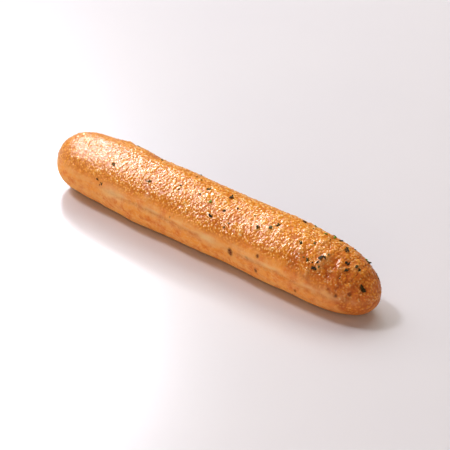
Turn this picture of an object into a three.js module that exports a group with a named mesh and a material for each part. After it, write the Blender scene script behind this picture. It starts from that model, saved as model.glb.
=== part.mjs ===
// Breadstick: one soft, hand-rolled stick of yeast dough, proved and baked on a flat tray.
// It is a single solid. The crumb and crust grew together in the oven, and the herbs are baked in.
// Frame: +X runs along the stick towards its slimmer end, +Z is up, and the origin lies on the
// surface that the stick rests on, under its middle. All lengths are in millimetres.

import * as THREE from "three";
import { ParametricGeometry } from "three/addons/geometries/ParametricGeometry.js";
import { mergeVertices } from "three/addons/utils/BufferGeometryUtils.js";

// Driving dimensions
const LENGTH = 190; // overall, end to end
const WIDTH = 33.5; // overall, side to side
const HEIGHT = 31; // overall, from the tray to the highest point of the crust

// Section: a round top over a flat baked foot
const WAIST_HEIGHT = 0.45 * HEIGHT; // where the section is widest
const FOOT_DEPTH = 1.16 * WAIST_HEIGHT; // how far the round underside would reach with no tray

// Ends: a low number tapers early, a high one stays full and turns blunt
const BLUNT_END = 13; // at -X
const SLIM_END = 7; // at +X

// Slim end: its last stretch sags towards the tray and turns a little aside
const TIP_SAG = 0.34; // share of the waist's height that is lost at the tip
const TIP_TURN = 1.8; // how far the tip has turned towards +Y
const TIP_ONSET = 6; // power of s: a high one keeps both close to the tip

// Unevenness of hand-rolled dough, as shares of the girth
const SWELLS = [
  { share: 0.025, waves: 1.5, shift: 3.2 },
  { share: 0.006, waves: 4.3, shift: 1.2 },
];

// Mesh: rings from end to end, crowded towards the ends, and steps round each ring
const RINGS = 80;
const STEPS_ROUND = 36;
const MERGE_DISTANCE = 1e-3;

const CRUST = { color: 0xc87f3c, roughness: 0.5, metalness: 0 };

// Radius of the stick as a share of its fullest, at s from -1 (blunt end) to 1 (slim end).
function taper(s) {
  const bluntness = s < 0 ? BLUNT_END : SLIM_END;
  return Math.sqrt(Math.max(0, 1 - Math.abs(s) ** bluntness));
}

// Girth at s, a little over or under 1, where the dough was rolled thicker or thinner.
function swell(s) {
  return SWELLS.reduce(
    (girth, wave) =>
      girth + wave.share * Math.sin(Math.PI * wave.waves * s + wave.shift),
    1,
  );
}

// A point on the crust. u runs from end to end, and v once round: from the +Y side under the foot
// to the -Y side, and back over the top.
function crustPoint(u, v, target) {
  const s = -Math.cos(Math.PI * u);
  const angle = -2 * Math.PI * v;
  const size = taper(s) * swell(s);
  const tip = Math.max(0, s) ** TIP_ONSET;
  const waist = WAIST_HEIGHT * (1 - TIP_SAG * tip);
  const rise = Math.sin(angle) > 0 ? HEIGHT - WAIST_HEIGHT : FOOT_DEPTH;
  target.set(
    (s * LENGTH) / 2,
    (WIDTH / 2) * size * Math.cos(angle) + TIP_TURN * tip,
    Math.max(0, waist + rise * size * Math.sin(angle)),
  );
}

// One closed surface: the seam and the two poles are merged, and the faces that vanish there go.
function closeSurface(open) {
  open.deleteAttribute("normal");
  open.deleteAttribute("uv");
  const merged = mergeVertices(open, MERGE_DISTANCE);
  const corners = merged.index.array;
  const kept = [];
  for (let i = 0; i < corners.length; i += 3) {
    const [a, b, c] = corners.slice(i, i + 3);
    if (a !== b && b !== c && c !== a) kept.push(a, b, c);
  }
  merged.setIndex(kept);
  return merged;
}

// Brings the solid to its overall sizes, with its box centred over the origin.
function fitToSize(geometry) {
  geometry.computeBoundingBox();
  const size = geometry.boundingBox.getSize(new THREE.Vector3());
  const centre = geometry.boundingBox.getCenter(new THREE.Vector3());
  geometry.translate(-centre.x, -centre.y, 0);
  geometry.scale(LENGTH / size.x, WIDTH / size.y, HEIGHT / size.z);
  geometry.computeVertexNormals();
  return geometry;
}

function makeBreadstick() {
  const surface = new ParametricGeometry(crustPoint, RINGS, STEPS_ROUND);
  const mesh = new THREE.Mesh(
    fitToSize(closeSurface(surface)),
    new THREE.MeshStandardMaterial(CRUST),
  );
  mesh.name = "breadstick";
  return mesh;
}

const part = new THREE.Group();
part.add(makeBreadstick());

export default part;
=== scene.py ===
import bpy
import numpy as np
from mathutils import Matrix, Vector


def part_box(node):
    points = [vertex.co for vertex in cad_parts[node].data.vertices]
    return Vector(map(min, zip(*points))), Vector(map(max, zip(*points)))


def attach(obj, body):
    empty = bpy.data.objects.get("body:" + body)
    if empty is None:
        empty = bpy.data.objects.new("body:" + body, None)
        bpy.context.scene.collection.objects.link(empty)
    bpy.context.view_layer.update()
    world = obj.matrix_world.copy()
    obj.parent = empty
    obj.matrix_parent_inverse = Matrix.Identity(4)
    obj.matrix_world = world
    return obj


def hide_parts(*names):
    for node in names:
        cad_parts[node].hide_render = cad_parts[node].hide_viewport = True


# Soft breadstick with a blistered, oiled crust and dried herbs, lying on a pale floor.
# Shapes are worked out in millimetres and turned to metres when a mesh is made. Along the stick, s
# runs from -1 at the blunt end to 1 at the slim one. Round its section, up runs from -1 under the
# foot through 0 at the waist to 1 on the crown.

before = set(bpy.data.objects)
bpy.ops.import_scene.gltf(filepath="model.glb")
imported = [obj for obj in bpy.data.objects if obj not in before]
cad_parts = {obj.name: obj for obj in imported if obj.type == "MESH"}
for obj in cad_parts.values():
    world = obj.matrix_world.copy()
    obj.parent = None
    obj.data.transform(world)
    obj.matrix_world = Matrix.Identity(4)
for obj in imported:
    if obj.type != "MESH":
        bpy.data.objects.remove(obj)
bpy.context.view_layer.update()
mm = 0.001
cadLow, cadHigh = (np.array(corner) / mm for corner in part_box("breadstick"))
stickSize = cadHigh - cadLow
dice = np.random.default_rng(7)
print("frame loaded, stick is", np.round(stickSize, 1), "mm")


hashing = dict(
    cellPrimes=(73856093, 19349663, 83492791), seedPrime=7919, seedStart=17,
    folds=((16, 0x7FEB352D), (15, 0x846CA68B)), lastFold=16,    # bits to shift by, multiplier
)


def cellRandom(cells, seed, count):
    # mixes the three cell numbers and the seed into one 32-bit number, then folds and multiplies
    # it again for each of count even random numbers from 0 to 1
    c = cells.astype(np.int64).astype(np.uint32)
    mixed = np.uint32(seed * hashing["seedPrime"] + hashing["seedStart"])
    for axis, prime in enumerate(hashing["cellPrimes"]):
        mixed = mixed ^ c[..., axis] * np.uint32(prime)
    drawn = []
    for _ in range(count):
        for shift, multiplier in hashing["folds"]:
            mixed = (mixed ^ (mixed >> np.uint32(shift))) * np.uint32(multiplier)
        mixed = mixed ^ (mixed >> np.uint32(hashing["lastFold"]))
        drawn.append(mixed / 2.0 ** 32)
    return np.stack(drawn, -1)


def ease(low, high, x):
    # 0 below low, 1 above high, 3t^2 - 2t^3 between; a low above its high runs the other way
    t = np.clip((x - low) / (high - low), 0, 1)
    return t * t * (3 - 2 * t)


def change(x, start, full, amount):
    # an amount that comes in between start and full: amount * ease(start, full, x)
    return amount * ease(start, full, x)


def noise(points, size, seed):
    # value noise from -1 to 1: random numbers at the corners of cells of the given size in mm,
    # blended across each cell with 3t^2 - 2t^3
    p = points / np.asarray(size, float)
    base = np.floor(p)
    t = ease(0, 1, p - base)
    total = np.zeros(len(points))
    for corner in np.ndindex(2, 2, 2):
        weight = np.prod(np.where(np.array(corner) == 1, t, 1 - t), axis=1)
        total += weight * cellRandom(base + corner, seed, 1)[:, 0]
    return 2 * total - 1


def bend(points, shift, size, seed):
    # points moved by shift * noise, the same along all three axes, which bends straight patterns
    return points + shift * noise(points, size, seed)[:, None]


def grains(points, size, seed):
    # one random dot in each cell: returns how far the nearest dot is, in cells, and that dot's
    # two random numbers
    p = points / np.asarray(size, float)
    base = np.floor(p)
    rim, spread = 0.1, 0.8                   # a dot keeps this far from the walls of its cell
    best = np.full(len(points), np.inf)
    numbers = np.zeros((len(points), 2))
    for corner in np.ndindex(3, 3, 3):
        cell = base + corner - 1
        drawn = cellRandom(cell, seed, 5)
        away = np.linalg.norm(cell + rim + spread * drawn[:, :3] - p, axis=1)
        nearer = away < best
        best[nearer] = away[nearer]
        numbers[nearer] = drawn[nearer, 3:]
    return best, numbers


stick = dict(
    rings=560, steps=175,                            # mesh: rings end to end, steps round each
    topCrowding=2.3, crowdingRise=(-0.1, 0.25),      # how much closer on top, and from what height
    outlineSamples=4001, sectionSamples=2001,        # points that measure the outline and section
    waist=0.45, footReach=1.16,                      # section: widest height, reach with no tray
    bluntEnd=13, slimEnd=7,                          # ends: a low number tapers early
    tipSag=0.34, tipTurn=1.8, tipOnset=6,            # slim tip: share of height, mm, power of s
    swells=((0.025, 1.5, 3.2), (0.006, 4.3, 1.2)),   # share of girth, waves, shift
    footSoftness=0.9,                                # mm, how round the edge of the foot is
)


def taper(s):
    # square root of 1 - |s| to the power of the end's number
    power = np.where(s < 0, stick["bluntEnd"], stick["slimEnd"])
    return np.sqrt(np.maximum(0, 1 - np.abs(s) ** power))


def stickSurface(s, angle):
    # the section is a half ellipse over a deeper half ellipse. It shrinks by the taper and the
    # swells, and the slim tip sags and turns aside by s to the power of tipOnset. s runs from -1
    # to 1, and angle from the near side (0) over the top (90 degrees) to the far side (180).
    girth = 1 + sum(share * np.sin(np.pi * waves * s + shift) for share, waves, shift in stick["swells"])
    size = taper(s) * girth
    tip = np.maximum(0, s) ** stick["tipOnset"]
    waist = stick["waist"] * stickSize[2]
    rise = np.where(np.sin(angle) > 0, stickSize[2] - waist, stick["footReach"] * waist)
    x = s * stickSize[0] / 2 + 0 * angle
    y = -np.cos(angle) * size * stickSize[1] / 2 + stick["tipTurn"] * tip
    z = waist * (1 - stick["tipSag"] * tip) + rise * size * np.sin(angle)
    return np.stack([x, y, z], -1)


def evenRings(count):
    # places along the stick with equal steps along its outline, poles left out
    s = -np.cos(np.linspace(0, np.pi, stick["outlineSamples"]))
    step = np.hypot(np.diff(s) * stickSize[0] / 2, np.diff(taper(s)) * stickSize[2] / 2)
    along = np.concatenate([[0], np.cumsum(step)])
    return np.interp(np.linspace(0, along[-1], count + 2)[1:-1], along, s)


def crowdedAngles(count):
    # steps round the section, at a density of 1 below and topCrowding on top
    angle = np.linspace(-np.pi, np.pi, stick["sectionSamples"])
    density = 1 + change(np.sin(angle), *stick["crowdingRise"], stick["topCrowding"] - 1)
    along = np.concatenate([[0], np.cumsum(density[1:])])
    return np.interp(np.arange(count) / count * along[-1], along, angle)


def fitToFrame(grid):
    # centres the surface over the origin and scales it to the frame's box, the tray's plane kept
    low, high = grid.min((0, 1)), grid.max((0, 1))
    centre = np.array([(low[0] + high[0]) / 2, (low[1] + high[1]) / 2, 0])
    return (grid - centre) * stickSize / (high - np.array([low[0], low[1], 0]))


def gridNormals(grid):
    # cross product of the step along and the step round, which points out
    along = np.gradient(grid, axis=0)
    around = np.roll(grid, -1, axis=1) - np.roll(grid, 1, axis=1)
    normal = np.cross(along, around)
    return normal / np.linalg.norm(normal, axis=-1, keepdims=True)


def quadFaces(rings, steps):
    # four-sided faces between neighbouring rings
    i = np.arange(rings - 1)[:, None] * steps
    j = np.arange(steps)[None, :]
    k = (j + 1) % steps
    return np.stack([i + j, i + steps + j, i + steps + k, i + k], -1).reshape(-1, 4).tolist()


def ringFaces(rings, steps):
    # the faces between the rings, and a fan of triangles at each pole
    startPole, endPole, lastRing = rings * steps, rings * steps + 1, (rings - 1) * steps
    step = np.arange(steps)
    after = (step + 1) % steps
    start = np.stack([np.full(steps, startPole), step, after], -1)
    finish = np.stack([np.full(steps, endPole), lastRing + after, lastRing + step], -1)
    return quadFaces(rings, steps) + start.tolist() + finish.tolist()


def makeMesh(name, points, faces, attributes):
    mesh = bpy.data.meshes.new(name)
    mesh.from_pydata((points * mm).tolist(), [], faces)
    mesh.polygons.foreach_set("use_smooth", np.ones(len(mesh.polygons), bool))
    for key, values in attributes.items():
        layer = mesh.attributes.new(key, "FLOAT", "POINT")
        layer.data.foreach_set("value", np.asarray(values, np.float32))
    mesh.update()
    piece = bpy.data.objects.new(name, mesh)
    bpy.context.scene.collection.objects.link(piece)
    return piece


crust = dict(
    lumps=((14, 0.45), (6, 0.25)), lumpStretch=1.3,     # the dough's own unevenness: size, height, mm
    blisterRise=(0.16, 0.5),                            # heights where blisters start and are full
    edgeWander=0.12, edgeSize=(11, 8, 8),               # how far that edge wanders, and over how many mm
    edgeSinks=((0.45, 0.85, 0.16), (0.84, 0.99, 0.5)),  # how much lower it lies near the slim end
    patchiness=0.14, patchSize=7,                       # share lost in patches, mm across them
    # what three numbers say here: where along the stick a change comes in, is full, and its amount
    bluntThinning=(0.93, 1.0, -0.75), slimThinning=(0.9, 1.0, -0.35),
    blisters=(                                          # mm, reach in cells, share that rose
        dict(size=(1.05, 1.2), reach=0.68, height=0.38, share=0.92),
        dict(size=(1.6, 1.7), reach=0.55, height=0.22, share=0.35),
        dict(size=(3.0, 3.4), reach=0.55, height=0.55, share=0.17),
    ),
    blisterBend=0.4, blisterBendSize=2.5,               # mm, takes the blisters out of their rows
    lowestBlister=0.45, riseEdge=0.06,                  # share of the height, softness of the choice
    bluntCalm=(0.0, 0.7, -0.15),                        # height lost towards the blunt end
    wrinkleSize=(0.8, 1.7), wrinkleHeight=0.04,         # mm
    crackSize=(2.2, 4.4), crackDepth=0.32,              # mm, hollows between the slim end's folds
    crackBend=0.5, crackBendSize=1.6, crackWidth=0.3,   # mm, mm, and in noise
    crackCover=(0.3, 0.9), crackRange=(0.45, 0.85),     # by the blisters' share, and along the stick
    settle=0.3,                                         # mm, lowers blistered skin to keep the girth
    flakeHollow=0.12, hollowWidth=2.2,                  # mm deep under a flake, width in half lengths
    spotEdge=(0.1, 0.6),                                # how sharply the herb spots end
)
# single features: place along the stick in mm, angle up from the near side in degrees, then
# length across the stick, width along it, and height, all in mm
bubbles = (
    (73, 60, 5.5, 4.6, 1.0),
    (29, 39, 3.2, 2.2, 0.6),
    (68, 25, 3.2, 2.0, 0.6),
    (36, 54, 2.6, 2.0, 0.5),
    (41, 60, 3.8, 3.2, 0.5),
    (-26, 24, 3.6, 3.0, 0.5),
    (-60, 125, 4.0, 3.0, 0.6),
    (12, 140, 4.5, 3.0, 0.6),
    (67, 87, 3.4, 3.0, 0.7),
    (68, 70, 2.6, 2.4, 0.5),
    (56, 89, 3.0, 2.6, 0.5),
    (44, 95, 2.8, 2.6, 0.5),
    (47, 68, 3.2, 2.4, 0.5),
    (61, 51, 3.0, 2.4, 0.5),
    (72, 46, 6.0, 3.0, 0.6),
    (81, 57, 2.6, 1.6, 0.35),
    (85, 78, 4.0, 3.0, 0.5),
)
# slow swellings of the dough, told in the same way, that change its shape and not its colour
bulges = (
    (-62, 124, 17, 40, 1.2),
    (36, 124, 14, 48, 0.9),
    (-20, 116, 12, 40, 0.3),
    (12, -14, 9, 44, -0.8),
)
# stretches of the side where the paler, floury dough shows, with a strength in place of a height
palePatches = (
    (-47, 5, 6.0, 14, 0.9),
    (-24, 11, 4.5, 12, 0.5),
    (12, 2, 6.0, 11, 1.0),
    (64, 6, 4.5, 12, 0.6),
    (78, 4, 4.0, 8, 0.5),
    (-30, 176, 6.0, 14, 0.7),
    (40, 172, 5.0, 12, 0.7),
)
# dents, told in the same way with a depth; their hollows are painted darker and redder as painted shade
dents = (
    (77, 65, 7.0, 4.8, 1.1),
    (77, 36, 5.0, 4.0, 0.6),
    (26, 60, 3.0, 2.6, 0.4),
    (60, 30, 9.0, 6.0, 0.4),
    (-40, 120, 10.0, 7.0, 0.4),
)
# herb under the thin skin of the sides: place, angle, length across, width along, darkness
herbSpots = (
    (26, -3, 4.2, 2.8, 1.0), (42, 14, 2.2, 2.0, 0.8), (41, -16, 2.6, 1.8, 0.8),
    (63, -20, 2.0, 1.6, 0.7), (83, 6, 2.2, 1.8, 0.7), (88, 19, 2.2, 1.8, 0.7),
    (36, 2, 3.0, 3.6, 0.35), (-10, 12, 1.5, 1.3, 0.7), (1, 24, 1.4, 1.2, 0.6),
    (-48, 21, 1.3, 1.3, 0.7), (-30, 168, 2.4, 1.8, 0.7), (18, 178, 2.0, 1.6, 0.6),
    (47, 171, 2.6, 1.7, 0.7), (-66, 186, 1.8, 1.4, 0.6),
)


def mound(flat, x, degrees, across, wide):
    # 1 at its middle, falling off as exp(-d^2) with d counted in half lengths
    offset = flat - stickSurface(np.array(2 * x / stickSize[0]), np.radians(degrees))
    aroundAway = np.linalg.norm(offset[:, 1:], axis=-1) / (across / 2)
    alongAway = offset[:, 0] / (wide / 2)
    return np.exp(-(aroundAway ** 2 + alongAway ** 2))


def blisterCover(flat, s, up):
    # share of the skin that blistered: an ease on the height up the section, with an edge that
    # wanders by noise and sinks towards the slim end, made patchy by noise and thinner on both ends
    edge = up + crust["edgeWander"] * noise(flat, crust["edgeSize"], 3)
    edge = edge + sum(change(s, *sink) for sink in crust["edgeSinks"])
    patchy = 1 - crust["patchiness"] * (1 - noise(flat, crust["patchSize"], 4))
    thinner = 1 + change(-s, *crust["bluntThinning"]) + change(s, *crust["slimThinning"])
    return ease(*crust["blisterRise"], edge) * patchy * thinner


def blisterHeight(flat, s, cover):
    # each blister is a soft dome, height * (1 - d^2)^1.5 with d counted in reaches, round a random
    # dot whose number is below the share that rose; wrinkles are the ridges 1 - 2|noise|
    total = np.zeros(len(flat))
    lowest, riseEdge = crust["lowestBlister"], crust["riseEdge"]
    for k, kind in enumerate(crust["blisters"]):
        along, across = kind["size"]
        bent = bend(flat, crust["blisterBend"], crust["blisterBendSize"], 60 + k)
        away, drawn = grains(bent, (along, across, across), 20 + k)
        dome = np.clip(1 - (away / kind["reach"]) ** 2, 0, 1) ** 1.5
        dome = dome * (lowest + (1 - lowest) * drawn[:, 0])
        total += kind["height"] * dome * ease(-riseEdge, riseEdge, kind["share"] * cover - drawn[:, 1])
    along, across = crust["wrinkleSize"]
    ridge = 1 - 2 * np.abs(noise(flat, (along, across, across), 40))
    total += crust["wrinkleHeight"] * ridge * cover
    return total * (1 + change(-s, *crust["bluntCalm"]))


def crackedTip(flat, s, cover):
    # thin hollows where noise passes through zero, 1 - ease(|noise|), growing towards the slim end; the
    # crust sinks there and the colour paints shade in them
    along, across = crust["crackSize"]
    bent = bend(flat, crust["crackBend"], crust["crackBendSize"], 42)
    crack = 1 - ease(0, crust["crackWidth"], np.abs(noise(bent, (along, across, across), 41)))
    return crack * ease(*crust["crackCover"], cover) * ease(*crust["crackRange"], s)


line = dict(
    angle=(11, 3), width=8.0,                      # where top and side crust parted, end to end, degrees
    waver=4, waverSize=(18, 60, 60),               # degrees, mm
    breaks=(-0.25, 0.5), breakSize=(15, 60, 60),   # noise where it is gone and whole, mm
    starts=(-0.66, -0.42), stops=(0.97, 0.86),     # along the stick
    grooveOff=0.6, grooveSharp=2.4, depth=0.3,     # place and sharpness in widths, depth in mm
    grooveWander=0.4, grooveSize=(4, 3, 3),        # widths, mm
    lipOff=0.4, lipSharp=1.3, lipHeight=0.2,       # the same for the soft lip above the groove
    streaks=0.45, streakSize=(7, 0.8, 0.8),        # how uneven the pale band is, mm
    brokenPale=0.35,                               # how pale the band stays where the line breaks
)


def partingLine(flat, s, degrees):
    # a band exp(-d^2) either side of a wavering angle: returns its height, a groove under a soft lip, how
    # pale it is, and how deep in the groove a point lies, which is painted as shade, all broken into
    # stretches
    middle = np.interp(s, (-1, 1), line["angle"]) + line["waver"] * noise(flat, line["waverSize"], 50)
    off = (degrees - middle) / line["width"]
    whole = ease(*line["breaks"], noise(flat, line["breakSize"], 52))
    whole = whole * ease(*line["stops"], s) * ease(*line["starts"], s)
    wander = line["grooveWander"] * noise(flat, line["grooveSize"], 53)
    groove = np.exp(-((off + line["grooveOff"] + wander) * line["grooveSharp"]) ** 2)
    lip = np.exp(-((off - line["lipOff"]) * line["lipSharp"]) ** 2)
    height = line["lipHeight"] * lip - line["depth"] * groove
    streaky = 1 - line["streaks"] * (1 - noise(flat, line["streakSize"], 51))
    pale = np.exp(-off ** 2) * (line["brokenPale"] + (1 - line["brokenPale"]) * whole) * streaky
    return height * whole, pale, groove * whole


# where each tone of the crust comes in and is full, and its amount if there is a third number.
# Blunt ones count towards the blunt end (0 at the middle, 1 at the tip), slim ones towards the
# slim end, up ones from the waist (0) to the crown (1), and blister ones in mm of its height.
tones = dict(
    topRise=(0.12, 0.5), topWander=0.1, topSize=(9, 5, 5), topSinks=((0.45, 0.85, 0.1), (0.8, 0.96, 1.1)),
    brown=0.15, brownDrifts=(((26, 14, 14), 0.25), ((6, 5, 5), 0.2)),        # mm, amount
    slimBrown=(0.55, 0.95, 0.46), bluntBrown=(0.6, 1.0, -0.25), crownBrown=(0.7, 1.0, -0.35),
    sideBrown=0.25, blisterBrown=(0.2, 0.7, -0.6),
    slimRed=(0.55, 0.95), blisterRed=(0.08, 0.45, -0.9),
    # bluntPale, bluntPaleUp and tipPale paint the blunt end paler towards its top and its tip: painted
    # light where the window falls there
    bluntPale=(0.15, 0.85), bluntPaleUp=(0.1, 0.5), tipPale=(0.86, 1.0),
    bluntOil=(0.3, 0.9, 0.2), slimOil=(0.0, 0.95, -0.25),
    bluntPips=(0.4, 0.9, -0.5), slimPips=(0.84, 0.98, -0.25),
    footHeight=(2.2, 0.2), footUp=(0.2, -0.3),                                # mm above the tray
    fullBlister=1.1,                                                          # mm
)


def crustTones(flat, s, up, height, blister):
    # how strong each tone is: eases along the stick, up the section and up the blisters, with an
    # edge between top and side that wanders by noise
    edge = up + tones["topWander"] * noise(flat, tones["topSize"], 5)
    top = ease(*tones["topRise"], edge + sum(change(s, *sink) for sink in tones["topSinks"]))
    browning = tones["brown"] + change(s, *tones["slimBrown"])
    browning = browning + change(-s, *tones["bluntBrown"]) + change(up, *tones["crownBrown"])
    for k, (size, amount) in enumerate(tones["brownDrifts"]):
        browning += amount * noise(flat, size, 70 + k)
    browning *= tones["sideBrown"] + (1 - tones["sideBrown"]) * top
    # browning and the slim end's red are kept off the blisters, so their tips stay pale: partly thin skin,
    # partly a painted highlight
    browning *= 1 + change(blister, *tones["blisterBrown"])
    slimEnd = ease(*tones["slimRed"], s) * (1 + change(blister, *tones["blisterRed"]))
    # painted light: the blunt end paler towards its top and its tip, where the window's light falls
    litPaleEnd = ease(*tones["bluntPale"], -s) * ease(*tones["bluntPaleUp"], up)
    litPaleEnd = np.maximum(litPaleEnd, ease(*tones["tipPale"], -s))
    oily = top * (1 + change(-s, *tones["bluntOil"]) + change(s, *tones["slimOil"]))
    pips = top * (1 + change(-s, *tones["bluntPips"]) + change(s, *tones["slimPips"]))
    foot = ease(*tones["footHeight"], height) * ease(*tones["footUp"], up)
    return dict(relief=blister / tones["fullBlister"], pips=pips, top=top, side=1 - top, oily=oily,
                browning=browning, litPaleEnd=litPaleEnd, slimEnd=slimEnd, foot=foot)


def makeCrust(flakePlaces):
    # the stick's surface, moved out along its normals by the sum of its reliefs, and pressed
    # flat on the tray by z' = (z + sqrt(z^2 + softness^2)) / 2
    ringPlaces, angles = evenRings(stick["rings"]), crowdedAngles(stick["steps"])
    grid = fitToFrame(stickSurface(ringPlaces[:, None], angles[None, :]))
    normals = gridNormals(grid)
    flat = grid.reshape(-1, 3)
    s = np.repeat(ringPlaces, stick["steps"])
    up = np.tile(np.sin(angles), stick["rings"])
    degrees = np.degrees(np.arcsin(up))                       # the same on the near and far side

    cover = blisterCover(flat, s, up)
    blister = blisterHeight(flat, s, cover)
    crack = crackedTip(flat, s, cover)
    lineHeight, paleLine, crease = partingLine(flat, s, degrees)
    height = blister - crust["settle"] * cover + lineHeight - crust["crackDepth"] * crack
    for k, (size, tall) in enumerate(crust["lumps"]):
        height += tall * noise(flat, (size * crust["lumpStretch"], size, size), 10 + k)

    paleSkin, redHollow, herbSpot = np.zeros((3, len(flat)))
    for x, degree, across, wide, tall in bubbles:
        bubble = mound(flat, x, degree, across, wide)
        height += tall * bubble
        paleSkin = np.maximum(paleSkin, bubble)
    for x, degree, across, wide, tall in bulges:
        height += tall * mound(flat, x, degree, across, wide)
    for x, degree, across, wide, deep in dents:
        dent = mound(flat, x, degree, across, wide)
        height -= deep * dent
        redHollow = np.maximum(redHollow, dent)
    for x, degree, across, wide, strength in palePatches:
        paleLine = np.maximum(paleLine, strength * mound(flat, x, degree, across, wide))
    for x, degree, across, wide, dark in herbSpots:
        herbSpot = np.maximum(herbSpot, dark * mound(flat, x, degree, across, wide))
    for x, degree, length in flakePlaces:
        width = crust["hollowWidth"] * length
        height -= crust["flakeHollow"] * mound(flat, x, degree, width, width)
    herbSpot = ease(*crust["spotEdge"], herbSpot)

    moved = flat + normals.reshape(-1, 3) * height[:, None]
    moved[:, 2] = (moved[:, 2] + np.hypot(moved[:, 2], stick["footSoftness"])) / 2
    moved[:, 2] -= moved[:, 2].min()

    rows = moved.reshape(grid.shape)
    poles = [rows[0].mean(0), rows[-1].mean(0)]
    looks = crustTones(flat, s, up, moved[:, 2], blister)
    looks.update(paleLine=paleLine, crease=crease, crack=crack, paleSkin=paleSkin,
                 redHollow=redHollow, herbSpot=herbSpot)
    for key, values in looks.items():
        ends = values[:stick["steps"]].mean(), values[-stick["steps"]:].mean()
        looks[key] = np.concatenate([values, ends])
    piece = makeMesh("crust", np.concatenate([moved, poles]), ringFaces(*grid.shape[:2]), looks)
    return piece, rows, normals


herbs = dict(
    placedScale=0.9,                         # half length of a placed flake, as a share of the listed one
    crumbs=(1, 3), crumbSpread=0.8,          # crumbs beside it (1 or 2), how far off, in half lengths
    crumbLength=(0.35, 0.6), crumbTint=0.2,  # shares of its half length, spread of their tint
    degreesPerMm=3,                          # round the top of the crust
    count=30,                                # small flakes besides the listed ones
    reach=92, over=(25, 155), crowding=0.5,  # mm, degrees, power that crowds them to the slim end
    tints=(0.0, 0.1, 0.25, 0.5, 0.8),        # of the random flakes, and how often each is drawn
    tintShares=(0.3, 0.25, 0.2, 0.17, 0.08),
    length=(0.35, 0.8), width=(0.35, 0.7),   # half length in mm, width as a share of it
    thickness=0.2, rings=4, steps=7,         # mm, mesh of one flake
    tilt=0.3, ragged=0.38,                   # spread of its tilt in radians and of its rim
    rimLimits=(0.5, 1.5), rimSlip=0.1,       # shares of the width, of the length
    curl=(-0.35, 0.45), roll=(-0.5, 0.5),    # bends lengthways and across, shares of length and width
    seatSteps=2, lift=0.05,                  # mesh steps of crust it rests on, mm off the crust
)
# flakes that show: place along in mm, angle up from the near side, half length, and tint, from
# black (0) through grey green (0.5) to fresh green (1)
placedFlakes = (
    (-52, 53, 1.1, 0.45), (-58, 18, 0.8, 0.1), (-55, 14, 0.9, 0.0), (-28, 51, 0.9, 0.5),
    (-12, 67, 0.8, 0.05), (1, 84, 1.2, 0.45), (13, 90, 1.3, 0.1), (7, 63, 1.1, 0.95),
    (16, 58, 1.0, 0.3), (11, 41, 1.2, 0.0), (36, 55, 1.0, 0.25), (42, 64, 1.1, 0.5),
    (44, 74, 1.3, 0.15), (50, 115, 1.6, 0.0), (59, 63, 1.0, 0.3), (63, 111, 1.1, 0.7),
    (67, 118, 1.4, 1.0), (70, 120, 1.3, 0.05), (71, 57, 2.0, 0.1), (66, 42, 1.2, 0.35),
    (70, 35, 1.2, 0.0), (77, 102, 1.7, 0.05), (85, 82, 1.6, 0.2), (82, 75, 1.1, 0.1),
    (83, 62, 1.0, 0.1), (84, 132, 1.9, 0.55), (91, 50, 2.2, 0.15), (90, 140, 0.9, 0.45),
)


def placeFlakes():
    # the listed flakes, each with a crumb or two beside it, then random ones over the top,
    # more of them towards the slim end
    places, tints = [], []
    for x, degree, length, tint in placedFlakes:
        places.append((x, degree, herbs["placedScale"] * length))
        tints.append(tint)
        for _ in range(dice.integers(*herbs["crumbs"])):
            away = dice.normal(0, herbs["crumbSpread"], 2) * length
            turned = degree + herbs["degreesPerMm"] * away[1]
            places.append((x + away[0], turned, dice.uniform(*herbs["crumbLength"]) * length))
            tints.append(np.clip(tint + dice.normal(0, herbs["crumbTint"]), 0, 1))
    for _ in range(herbs["count"]):
        x = herbs["reach"] * (2 * dice.random() ** herbs["crowding"] - 1)
        places.append((x, dice.uniform(*herbs["over"]), dice.uniform(*herbs["length"])))
        tints.append(dice.choice(herbs["tints"], p=herbs["tintShares"]))
    return places, tints


def flakeShape(length):
    # a flat oval with a ragged rim: its section is an ellipse whose width falls as
    # sqrt(1 - along^2), and it curls by along^2 and rolls by the square of the place across it
    along = -np.cos(np.linspace(0, np.pi, herbs["rings"] + 2))[1:-1, None]
    turn = np.linspace(0, 2 * np.pi, herbs["steps"], endpoint=False)[None, :]
    wide = length * dice.uniform(*herbs["width"])
    ragged = 1 + herbs["ragged"] * dice.standard_normal((herbs["rings"], herbs["steps"]))
    ring = np.sqrt(1 - along ** 2) * np.clip(ragged, *herbs["rimLimits"])
    a = length * along * (1 + herbs["rimSlip"] * dice.standard_normal(ragged.shape))
    b = -wide * ring * np.cos(turn)
    c = herbs["thickness"] * ring * np.sin(turn) + dice.uniform(*herbs["curl"]) * length * along ** 2
    c = c + dice.uniform(*herbs["roll"]) * b ** 2 / wide
    ends = [[-length, 0, c[0].mean()], [length, 0, c[-1].mean()]]
    return np.concatenate([np.stack([a, b, c], -1).reshape(-1, 3), ends])


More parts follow.
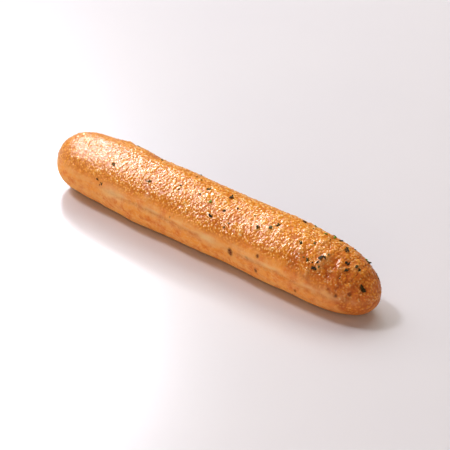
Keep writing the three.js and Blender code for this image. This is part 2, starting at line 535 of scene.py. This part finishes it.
def makeHerbs(places, tints, rows, normals):
    # each flake lies on the crust where its place says, turned at random and a little tilted
    s, angles = evenRings(len(rows)), np.degrees(crowdedAngles(rows.shape[1]))
    oneFlake = ringFaces(herbs["rings"], herbs["steps"])
    near = herbs["seatSteps"]
    points, faces, tintOf = [], [], []
    for (x, degree, length), tint in zip(places, tints):
        i = np.abs(s * stickSize[0] / 2 - x).argmin()
        j = np.abs((angles - degree + 180) % 360 - 180).argmin()
        around = rows[max(i - near, 0):i + near + 1, max(j - near, 0):j + near + 1].reshape(-1, 3)
        normal = Vector(normals[i, j])
        side = normal.orthogonal().normalized()
        lengthways = Matrix.Rotation(dice.uniform(0, np.pi), 3, normal) @ side
        tilt = Matrix.Rotation(dice.normal(0, herbs["tilt"]), 3, side)
        axes = np.array([tilt @ lengthways, tilt @ normal.cross(lengthways), tilt @ normal])
        outwards = np.array(normal)
        seat = around.mean(0) + outwards * (herbs["lift"] + np.ptp(around @ outwards) / 2)
        local = flakeShape(length)
        start = len(local) * len(points)
        points.append(seat + local @ axes)
        faces += [[v + start for v in face] for face in oneFlake]
        tintOf += [tint] * len(local)
    return makeMesh("herbFlakes", np.concatenate(points), faces, dict(tint=tintOf))


def linear(code, alpha=1.0):
    # sRGB hex to linear: ((c + 0.055) / 1.055) ^ 2.4, or c / 12.92 for the darkest
    channels = [int(code[k:k + 2], 16) / 255 for k in (1, 3, 5)]
    return [c / 12.92 if c <= 0.04045 else ((c + 0.055) / 1.055) ** 2.4 for c in channels] + [alpha]


def addNode(tree, kind, inputs=None, stops=None, **settings):
    # adds one node: a socket in inputs is linked, any other value is set, and stops fill a ramp
    node = tree.nodes.new(kind)
    for key, value in settings.items():
        setattr(node, key, value)
    for key, value in (inputs or {}).items():
        if isinstance(value, bpy.types.NodeSocket):
            tree.links.new(value, node.inputs[key])
        else:
            node.inputs[key].default_value = value
    for k, (position, colour) in enumerate(stops or ()):
        ramp = node.color_ramp.elements
        element = ramp[k] if k < len(ramp) else ramp.new(position)
        element.position, element.color = position, linear(colour)
    return node


def newMaterial(name):
    material = bpy.data.materials.new(name)
    material.use_nodes = True
    return material, material.node_tree, material.node_tree.nodes["Principled BSDF"]


crustLook = dict(
    # from the valleys to the tips of the blisters: the darker valleys are partly painted shade, and the
    # paler tips partly a painted highlight and partly their thin skin
    blisterTonesWithPaintedLight=((0.0, "#C46C10"), (0.25, "#E89A22"), (0.5, "#FABA4E"), (0.8, "#FFD48E"),
                  (1.0, "#FFE8BC")),
    sideSkin="#F6A446",
    # patterns: spacing in mm, detail, and how many times longer they run along the stick
    patterns=dict(grain=(0.55, 4.0, 1), speck=(0.8, 2.0, 1), freckle=(1.1, 3.0, 1),
                  pucker=(1.3, 2.0, 1), blotch=(3.5, 3.0, 1), drift=(5.0, 3.0, 1),
                  streak=(3.6, 2.5, 3)),
    # the finest blisters: mm between them, how far from its middle one is full and where it ends, in
    # cells, and how much they colour; their pale dots are partly painted highlights
    pimple=1.3, pimpleEdge=(0.14, 0.52), pimpleShare=0.8,
    # layers, painted in order: the attribute that says where, the pattern, the range of it that
    # counts, the strength at its two ends, and the colour
    layers=(
        ("top", "freckle", (0.42, 0.66), (0, 0.25), "#F6AC58"),
        ("side", "streak", (0.35, 0.65), (0, 0.62), "#F2BC72"),
        ("side", "blotch", (0.45, 0.68), (0, 0.7), "#DC6C28"),
        ("side", "freckle", (0.5, 0.7), (0, 0.5), "#F8C880"),
        ("browning", "blotch", (0.3, 0.7), (0.2, 0.6), "#A8522A"),
        # painted light on the blunt end's top and tip
        ("litPaleEnd", "blotch", (0.3, 0.7), (0, 0.25), "#F8BC78"),
        ("slimEnd", "blotch", (0.3, 0.7), (0.25, 0.55), "#C46A3A"),
        ("paleLine", "streak", (0.3, 0.6), (0.22, 0.95), "#F1CD92"),
        # painted shade in the parting line's groove
        ("crease", "speck", (0.3, 0.6), (0.05, 0.42), "#B45A20"),
        # painted shade in the cracks between the slim end's folds
        ("crack", "speck", (0.3, 0.6), (0.2, 0.55), "#8C4014"),
        ("paleSkin", "speck", (0.3, 0.6), (0.1, 0.5), "#F6CF8C"),
        # painted shade darkening the dents
        ("redHollow", "speck", (0.3, 0.6), (0.4, 0.7), "#A84C1A"),
        ("herbSpot", "speck", (0.3, 0.6), (0.6, 1), "#652E12"),
        ("foot", "blotch", (0.3, 0.7), (0.6, 1), "#B86A24"),
    ),
    # bumps of the skin: pattern, strength, mm
    bumps=(("grain", 0.35, 0.12), ("pucker", 0.3, 0.10), ("pimple", 0.8, 0.28)),
    roughness=(0.6, 0.34),                          # on the dry side and on the oiled top
    driftRange=(0.35, 0.65), uneven=(-0.08, 0.1),   # roughness added at the ends of the drift's range
    oil=0.8, valleyOil=0.3, oilRange=(0.1, 0.6),    # coat, its share in valleys, relief it grows over
    values={"IOR": 1.45, "Specular IOR Level": 0.12, "Coat Roughness": 0.14, "Coat IOR": 1.46,
            "Subsurface Weight": 0.1, "Subsurface Radius": (1.0, 0.5, 0.2), "Subsurface Scale": 0.8 * mm},
)


def makeCrustMaterial():
    # Baked yeast crust brushed with oil: orange between the blisters and paler at their tips, partly where
    # their thin skin stood clear of the heat and partly as a painted highlight, with painted shade
    # darkening the valleys between them. It is redder at the slim end, and drier, smoother and streaky on
    # the sides. Painted light makes the blunt end paler towards its top and tip, and painted shade darkens
    # the parting line's groove, the slim end's cracks and the dents. The oil sits on the blisters more
    # than between them, so the top has a soft wet shine that breaks up on every blister.
    look = crustLook
    material, tree, shader = newMaterial("bakedYeastCrust")
    place = addNode(tree, "ShaderNodeTexCoord").outputs["Object"]
    pattern = {}
    for name, (spacing, detail, stretch) in look["patterns"].items():
        run = addNode(tree, "ShaderNodeMapping", {"Vector": place, "Scale": (1 / stretch, 1, 1)})
        scaled = {"Vector": run.outputs["Vector"], "Scale": 1 / (spacing * mm), "Detail": detail}
        pattern[name] = addNode(tree, "ShaderNodeTexNoise", scaled).outputs["Fac"]
    where = {}
    for name in ("relief", "top", "oily", "pips", *dict.fromkeys(layer[0] for layer in look["layers"])):
        where[name] = addNode(tree, "ShaderNodeAttribute", attribute_name=name).outputs["Fac"]

    # a range's sockets are 0 its value, 1 and 2 what it runs from and to, 3 and 4 what it gives
    dots = addNode(tree, "ShaderNodeTexVoronoi", {"Vector": place, "Scale": 1 / (look["pimple"] * mm)})
    full, edge = look["pimpleEdge"]
    domed = {0: dots.outputs["Distance"], 1: full, 2: edge, 3: 1.0, 4: 0.0}
    pimple = addNode(tree, "ShaderNodeMapRange", domed).outputs[0]
    shown = {0: pimple, 1: where["pips"]}
    pattern["pimple"] = addNode(tree, "ShaderNodeMath", shown, operation="MULTIPLY").outputs[0]
    added = {0: pattern["pimple"], 1: look["pimpleShare"], 2: where["relief"]}
    raised = addNode(tree, "ShaderNodeMath", added, operation="MULTIPLY_ADD").outputs[0]

    # sockets 0, 6 and 7 of a colour mix are its factor and its two colours, 2 is its result
    # the blisters' colour runs from darker valleys, partly painted shade, to pale tips, partly a painted
    # highlight
    blistered = addNode(tree, "ShaderNodeValToRGB", {"Fac": raised}, stops=look["blisterTonesWithPaintedLight"])
    mixed = {0: where["top"], 6: linear(look["sideSkin"]), 7: blistered.outputs["Color"]}
    colour = addNode(tree, "ShaderNodeMix", mixed, data_type="RGBA").outputs[2]
    for area, patternName, (low, high), (least, most), code in look["layers"]:
        patchy = {0: pattern[patternName], 1: low, 2: high, 3: least, 4: most}
        share = {0: where[area], 1: addNode(tree, "ShaderNodeMapRange", patchy).outputs[0]}
        share = addNode(tree, "ShaderNodeMath", share, operation="MULTIPLY", use_clamp=True)
        mixed = {0: share.outputs[0], 6: colour, 7: linear(code)}
        colour = addNode(tree, "ShaderNodeMix", mixed, data_type="RGBA").outputs[2]

    (low, high), (least, most) = look["driftRange"], look["uneven"]
    uneven = addNode(tree, "ShaderNodeMapRange", {0: pattern["drift"], 1: low, 2: high, 3: least, 4: most})
    dry, oiled = look["roughness"]
    rough = addNode(tree, "ShaderNodeMapRange", {0: where["top"], 1: 0.0, 2: 1.0, 3: dry, 4: oiled})
    rough = {0: rough.outputs[0], 1: uneven.outputs[0]}
    rough = addNode(tree, "ShaderNodeMath", rough, operation="ADD").outputs[0]
    low, high = look["oilRange"]
    oil = addNode(tree, "ShaderNodeMapRange", {0: raised, 1: low, 2: high, 3: look["valleyOil"], 4: 1.0})
    for factor in (where["oily"], look["oil"]):
        oil = addNode(tree, "ShaderNodeMath", {0: oil.outputs[0], 1: factor}, operation="MULTIPLY")
    bump = None
    for name, strength, deep in look["bumps"]:
        below = {"Normal": bump.outputs[0]} if bump else {}
        bumpy = {"Strength": strength, "Distance": deep * mm, "Height": pattern[name], **below}
        bump = addNode(tree, "ShaderNodeBump", bumpy)
    links = {"Base Color": colour, "Roughness": rough, "Normal": bump.outputs[0],
             "Coat Weight": oil.outputs[0]}
    for socket, source in links.items():
        tree.links.new(source, shader.inputs[socket])
    for socket, value in look["values"].items():
        shader.inputs[socket].default_value = value
    return material


herbLook = dict(
    stops=((0.15, "#2E2414"), (0.4, "#473E1C"), (0.7, "#66683A"), (1.0, "#6A962C")),
    vein=0.5, veinShare=0.3,             # mm between its mottles, and how much they shift the tint
    bump=(0.5, 0.1),                     # strength, mm
    values={"Roughness": 0.7, "Specular IOR Level": 0.1},
)


def makeHerbMaterial():
    # Dried leaf, baked nearly black, mottled and quite matt; a few flakes kept their green.
    look = herbLook
    material, tree, shader = newMaterial("driedHerbLeaf")
    place = addNode(tree, "ShaderNodeTexCoord").outputs["Object"]
    tint = addNode(tree, "ShaderNodeAttribute", attribute_name="tint").outputs["Fac"]
    mottled = {"Vector": place, "Scale": 1 / (look["vein"] * mm)}
    vary = addNode(tree, "ShaderNodeTexNoise", mottled).outputs["Fac"]
    shifted = {0: vary, 1: look["veinShare"], 2: tint}
    shifted = addNode(tree, "ShaderNodeMath", shifted, operation="MULTIPLY_ADD").outputs[0]
    colour = addNode(tree, "ShaderNodeValToRGB", {"Fac": shifted}, stops=look["stops"]).outputs["Color"]
    strength, deep = look["bump"]
    bumpy = {"Strength": strength, "Distance": deep * mm, "Height": vary}
    tree.links.new(colour, shader.inputs["Base Color"])
    tree.links.new(addNode(tree, "ShaderNodeBump", bumpy).outputs[0], shader.inputs["Normal"])
    for socket, value in look["values"].items():
        shader.inputs[socket].default_value = value
    return material


studio = dict(
    floorStart=20, floorRadius=2000, bend=800, wallHeight=2200,          # mm
    floorRings=12, bendRings=15, floorSteps=96,                          # mesh
    floorStops=((0.3, "#D9DFEC"), (0.7, "#DCE2EE")), cloudScale=6.0,     # clouds to a metre
    wallColour="#F2E6D6", wallRise=300,                                  # mm over which it turns beige
    floorRoughness=0.25,
    azimuth=39.6, elevation=30.9, roll=1.5, distance=0.678,              # degrees, metres
    lens=112.0, sensor=36,                                               # mm
    aim=(-0.005, 0.018),                                                 # metres from the middle
    # lights: direction from the stick, metres away, metres across, watts, colour, and whether they
    # brighten surfaces (lit) and show up in shiny ones (mirrored)
    lights=dict(
        window=dict(direction=(-0.73, -0.06, 0.67), away=1.6, size=(2.5, 0.5), power=84,
                    colour="#F4F6FF", lit=False, mirrored=True),
        lamp=dict(direction=(-0.56, -0.11, 0.82), away=1.6, size=(0.24, 0.24), power=9.2,
                  colour="#FFF8F6", lit=True, mirrored=True),
        left=dict(direction=(-0.68, 0.22, 0.63), away=1.6, size=(1.6, 0.8), power=13.5,
                  colour="#FFF8F6", lit=True, mirrored=False),
        back=dict(direction=(-0.22, 0.54, 0.81), away=1.8, size=(1.3, 0.9), power=13,
                  colour="#FFF6E6", lit=True, mirrored=False),
        fill=dict(direction=(0.40, -0.87, 0.30), away=2.0, size=(1.2, 0.8), power=10.6,
                  colour="#FFC890", lit=True, mirrored=False),
    ),
    skyColour="#FFEAE2", skyStrength=0.17,
)


def makeFloorMaterial():
    # Matt glazed white: pale and even. Where it bends up into the wall it turns to warm beige,
    # which keeps the light that comes back from all round as warm as a wooden table does.
    material, tree, shader = newMaterial("paleMattGlaze")
    place = addNode(tree, "ShaderNodeTexCoord").outputs["Object"]
    clouded = {"Vector": place, "Scale": studio["cloudScale"]}
    cloud = addNode(tree, "ShaderNodeTexNoise", clouded).outputs["Fac"]
    floorColour = addNode(tree, "ShaderNodeValToRGB", {"Fac": cloud}, stops=studio["floorStops"])
    height = addNode(tree, "ShaderNodeSeparateXYZ", {"Vector": place}).outputs["Z"]
    share = addNode(tree, "ShaderNodeMapRange", {0: height, 1: 0.0, 2: studio["wallRise"] * mm})
    mixed = {0: share.outputs[0], 6: floorColour.outputs["Color"], 7: linear(studio["wallColour"])}
    colour = addNode(tree, "ShaderNodeMix", mixed, data_type="RGBA").outputs[2]
    tree.links.new(colour, shader.inputs["Base Color"])
    shader.inputs["Roughness"].default_value = studio["floorRoughness"]
    return material


def makeFloor():
    # a round floor that bends up into a wall. Its profile runs straight out to floorRadius, round
    # a quarter circle (radius + bend * sin, bend * (1 - cos)), then straight up, and it is
    # carried once round the middle
    flat = np.linspace(studio["floorStart"], studio["floorRadius"], studio["floorRings"])
    turn = np.linspace(0, np.pi / 2, studio["bendRings"] + 1)[1:]
    radius = np.concatenate([flat, studio["floorRadius"] + studio["bend"] * np.sin(turn)])
    height = np.concatenate([0 * flat, studio["bend"] * (1 - np.cos(turn))])
    radius = np.append(radius, radius[-1])[:, None]
    height = np.append(height, studio["wallHeight"])[:, None]
    around = np.linspace(0, 2 * np.pi, studio["floorSteps"], endpoint=False)[None, :]
    points = np.stack([radius * np.cos(around), radius * np.sin(around), height + 0 * around], -1)
    rings, steps = points.shape[:2]
    floor = makeMesh("floor", points.reshape(-1, 3), [list(range(steps)), *quadFaces(rings, steps)], {})
    floor.data.materials.append(makeFloorMaterial())


def makeLights():
    for name, settings in studio["lights"].items():
        direction = Vector(settings["direction"]).normalized()
        light = bpy.data.lights.new(name, "AREA")
        light.shape = "RECTANGLE"
        light.size, light.size_y = settings["size"]
        light.energy = settings["power"]
        light.color = linear(settings["colour"])[:3]
        lamp = bpy.data.objects.new(name, light)
        lamp.location = direction * settings["away"]
        lamp.rotation_euler = direction.to_track_quat("Z", "Y").to_euler()
        lamp.visible_diffuse, lamp.visible_glossy = settings["lit"], settings["mirrored"]
        bpy.context.scene.collection.objects.link(lamp)
    world = bpy.data.worlds.new("sky")
    world.use_nodes = True
    background = world.node_tree.nodes["Background"]
    background.inputs["Color"].default_value = linear(studio["skyColour"])
    background.inputs["Strength"].default_value = studio["skyStrength"]
    bpy.context.scene.world = world
    bpy.context.scene.view_settings.view_transform = "Standard"


def makeCamera():
    # stands at an azimuth and elevation round the point it aims at, and leans by its roll
    azimuth, elevation, roll = np.radians([studio["azimuth"], studio["elevation"], studio["roll"]])
    level = np.cos(elevation)
    back = np.array([np.sin(azimuth) * level, -np.cos(azimuth) * level, np.sin(elevation)])
    right = np.array([np.cos(azimuth), np.sin(azimuth), 0])
    up = np.cross(back, right)
    leanRight = np.cos(roll) * right + np.sin(roll) * up
    leanUp = np.cos(roll) * up - np.sin(roll) * right
    turn = Matrix([leanRight, leanUp, back]).transposed().to_4x4()
    stand = Vector((*studio["aim"], 0)) + Vector(back) * studio["distance"]
    camera = bpy.data.objects.new("camera", bpy.data.cameras.new("camera"))
    camera.data.lens = studio["lens"]
    camera.data.sensor_width = studio["sensor"]
    camera.matrix_world = Matrix.Translation(stand) @ turn
    bpy.context.scene.collection.objects.link(camera)
    bpy.context.scene.camera = camera


makeFloor()
makeLights()
makeCamera()
print("floor, lights and camera made")

flakePlaces, flakeTints = placeFlakes()
crustPiece, crustRows, crustNormals = makeCrust(flakePlaces)
crustPiece.data.materials.append(makeCrustMaterial())
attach(crustPiece, "root")
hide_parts("breadstick")
print("crust made,", len(crustPiece.data.polygons), "faces")

herbPiece = makeHerbs(flakePlaces, flakeTints, crustRows, crustNormals)
herbPiece.data.materials.append(makeHerbMaterial())
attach(herbPiece, "root")
print("herbs made,", len(flakePlaces), "flakes")
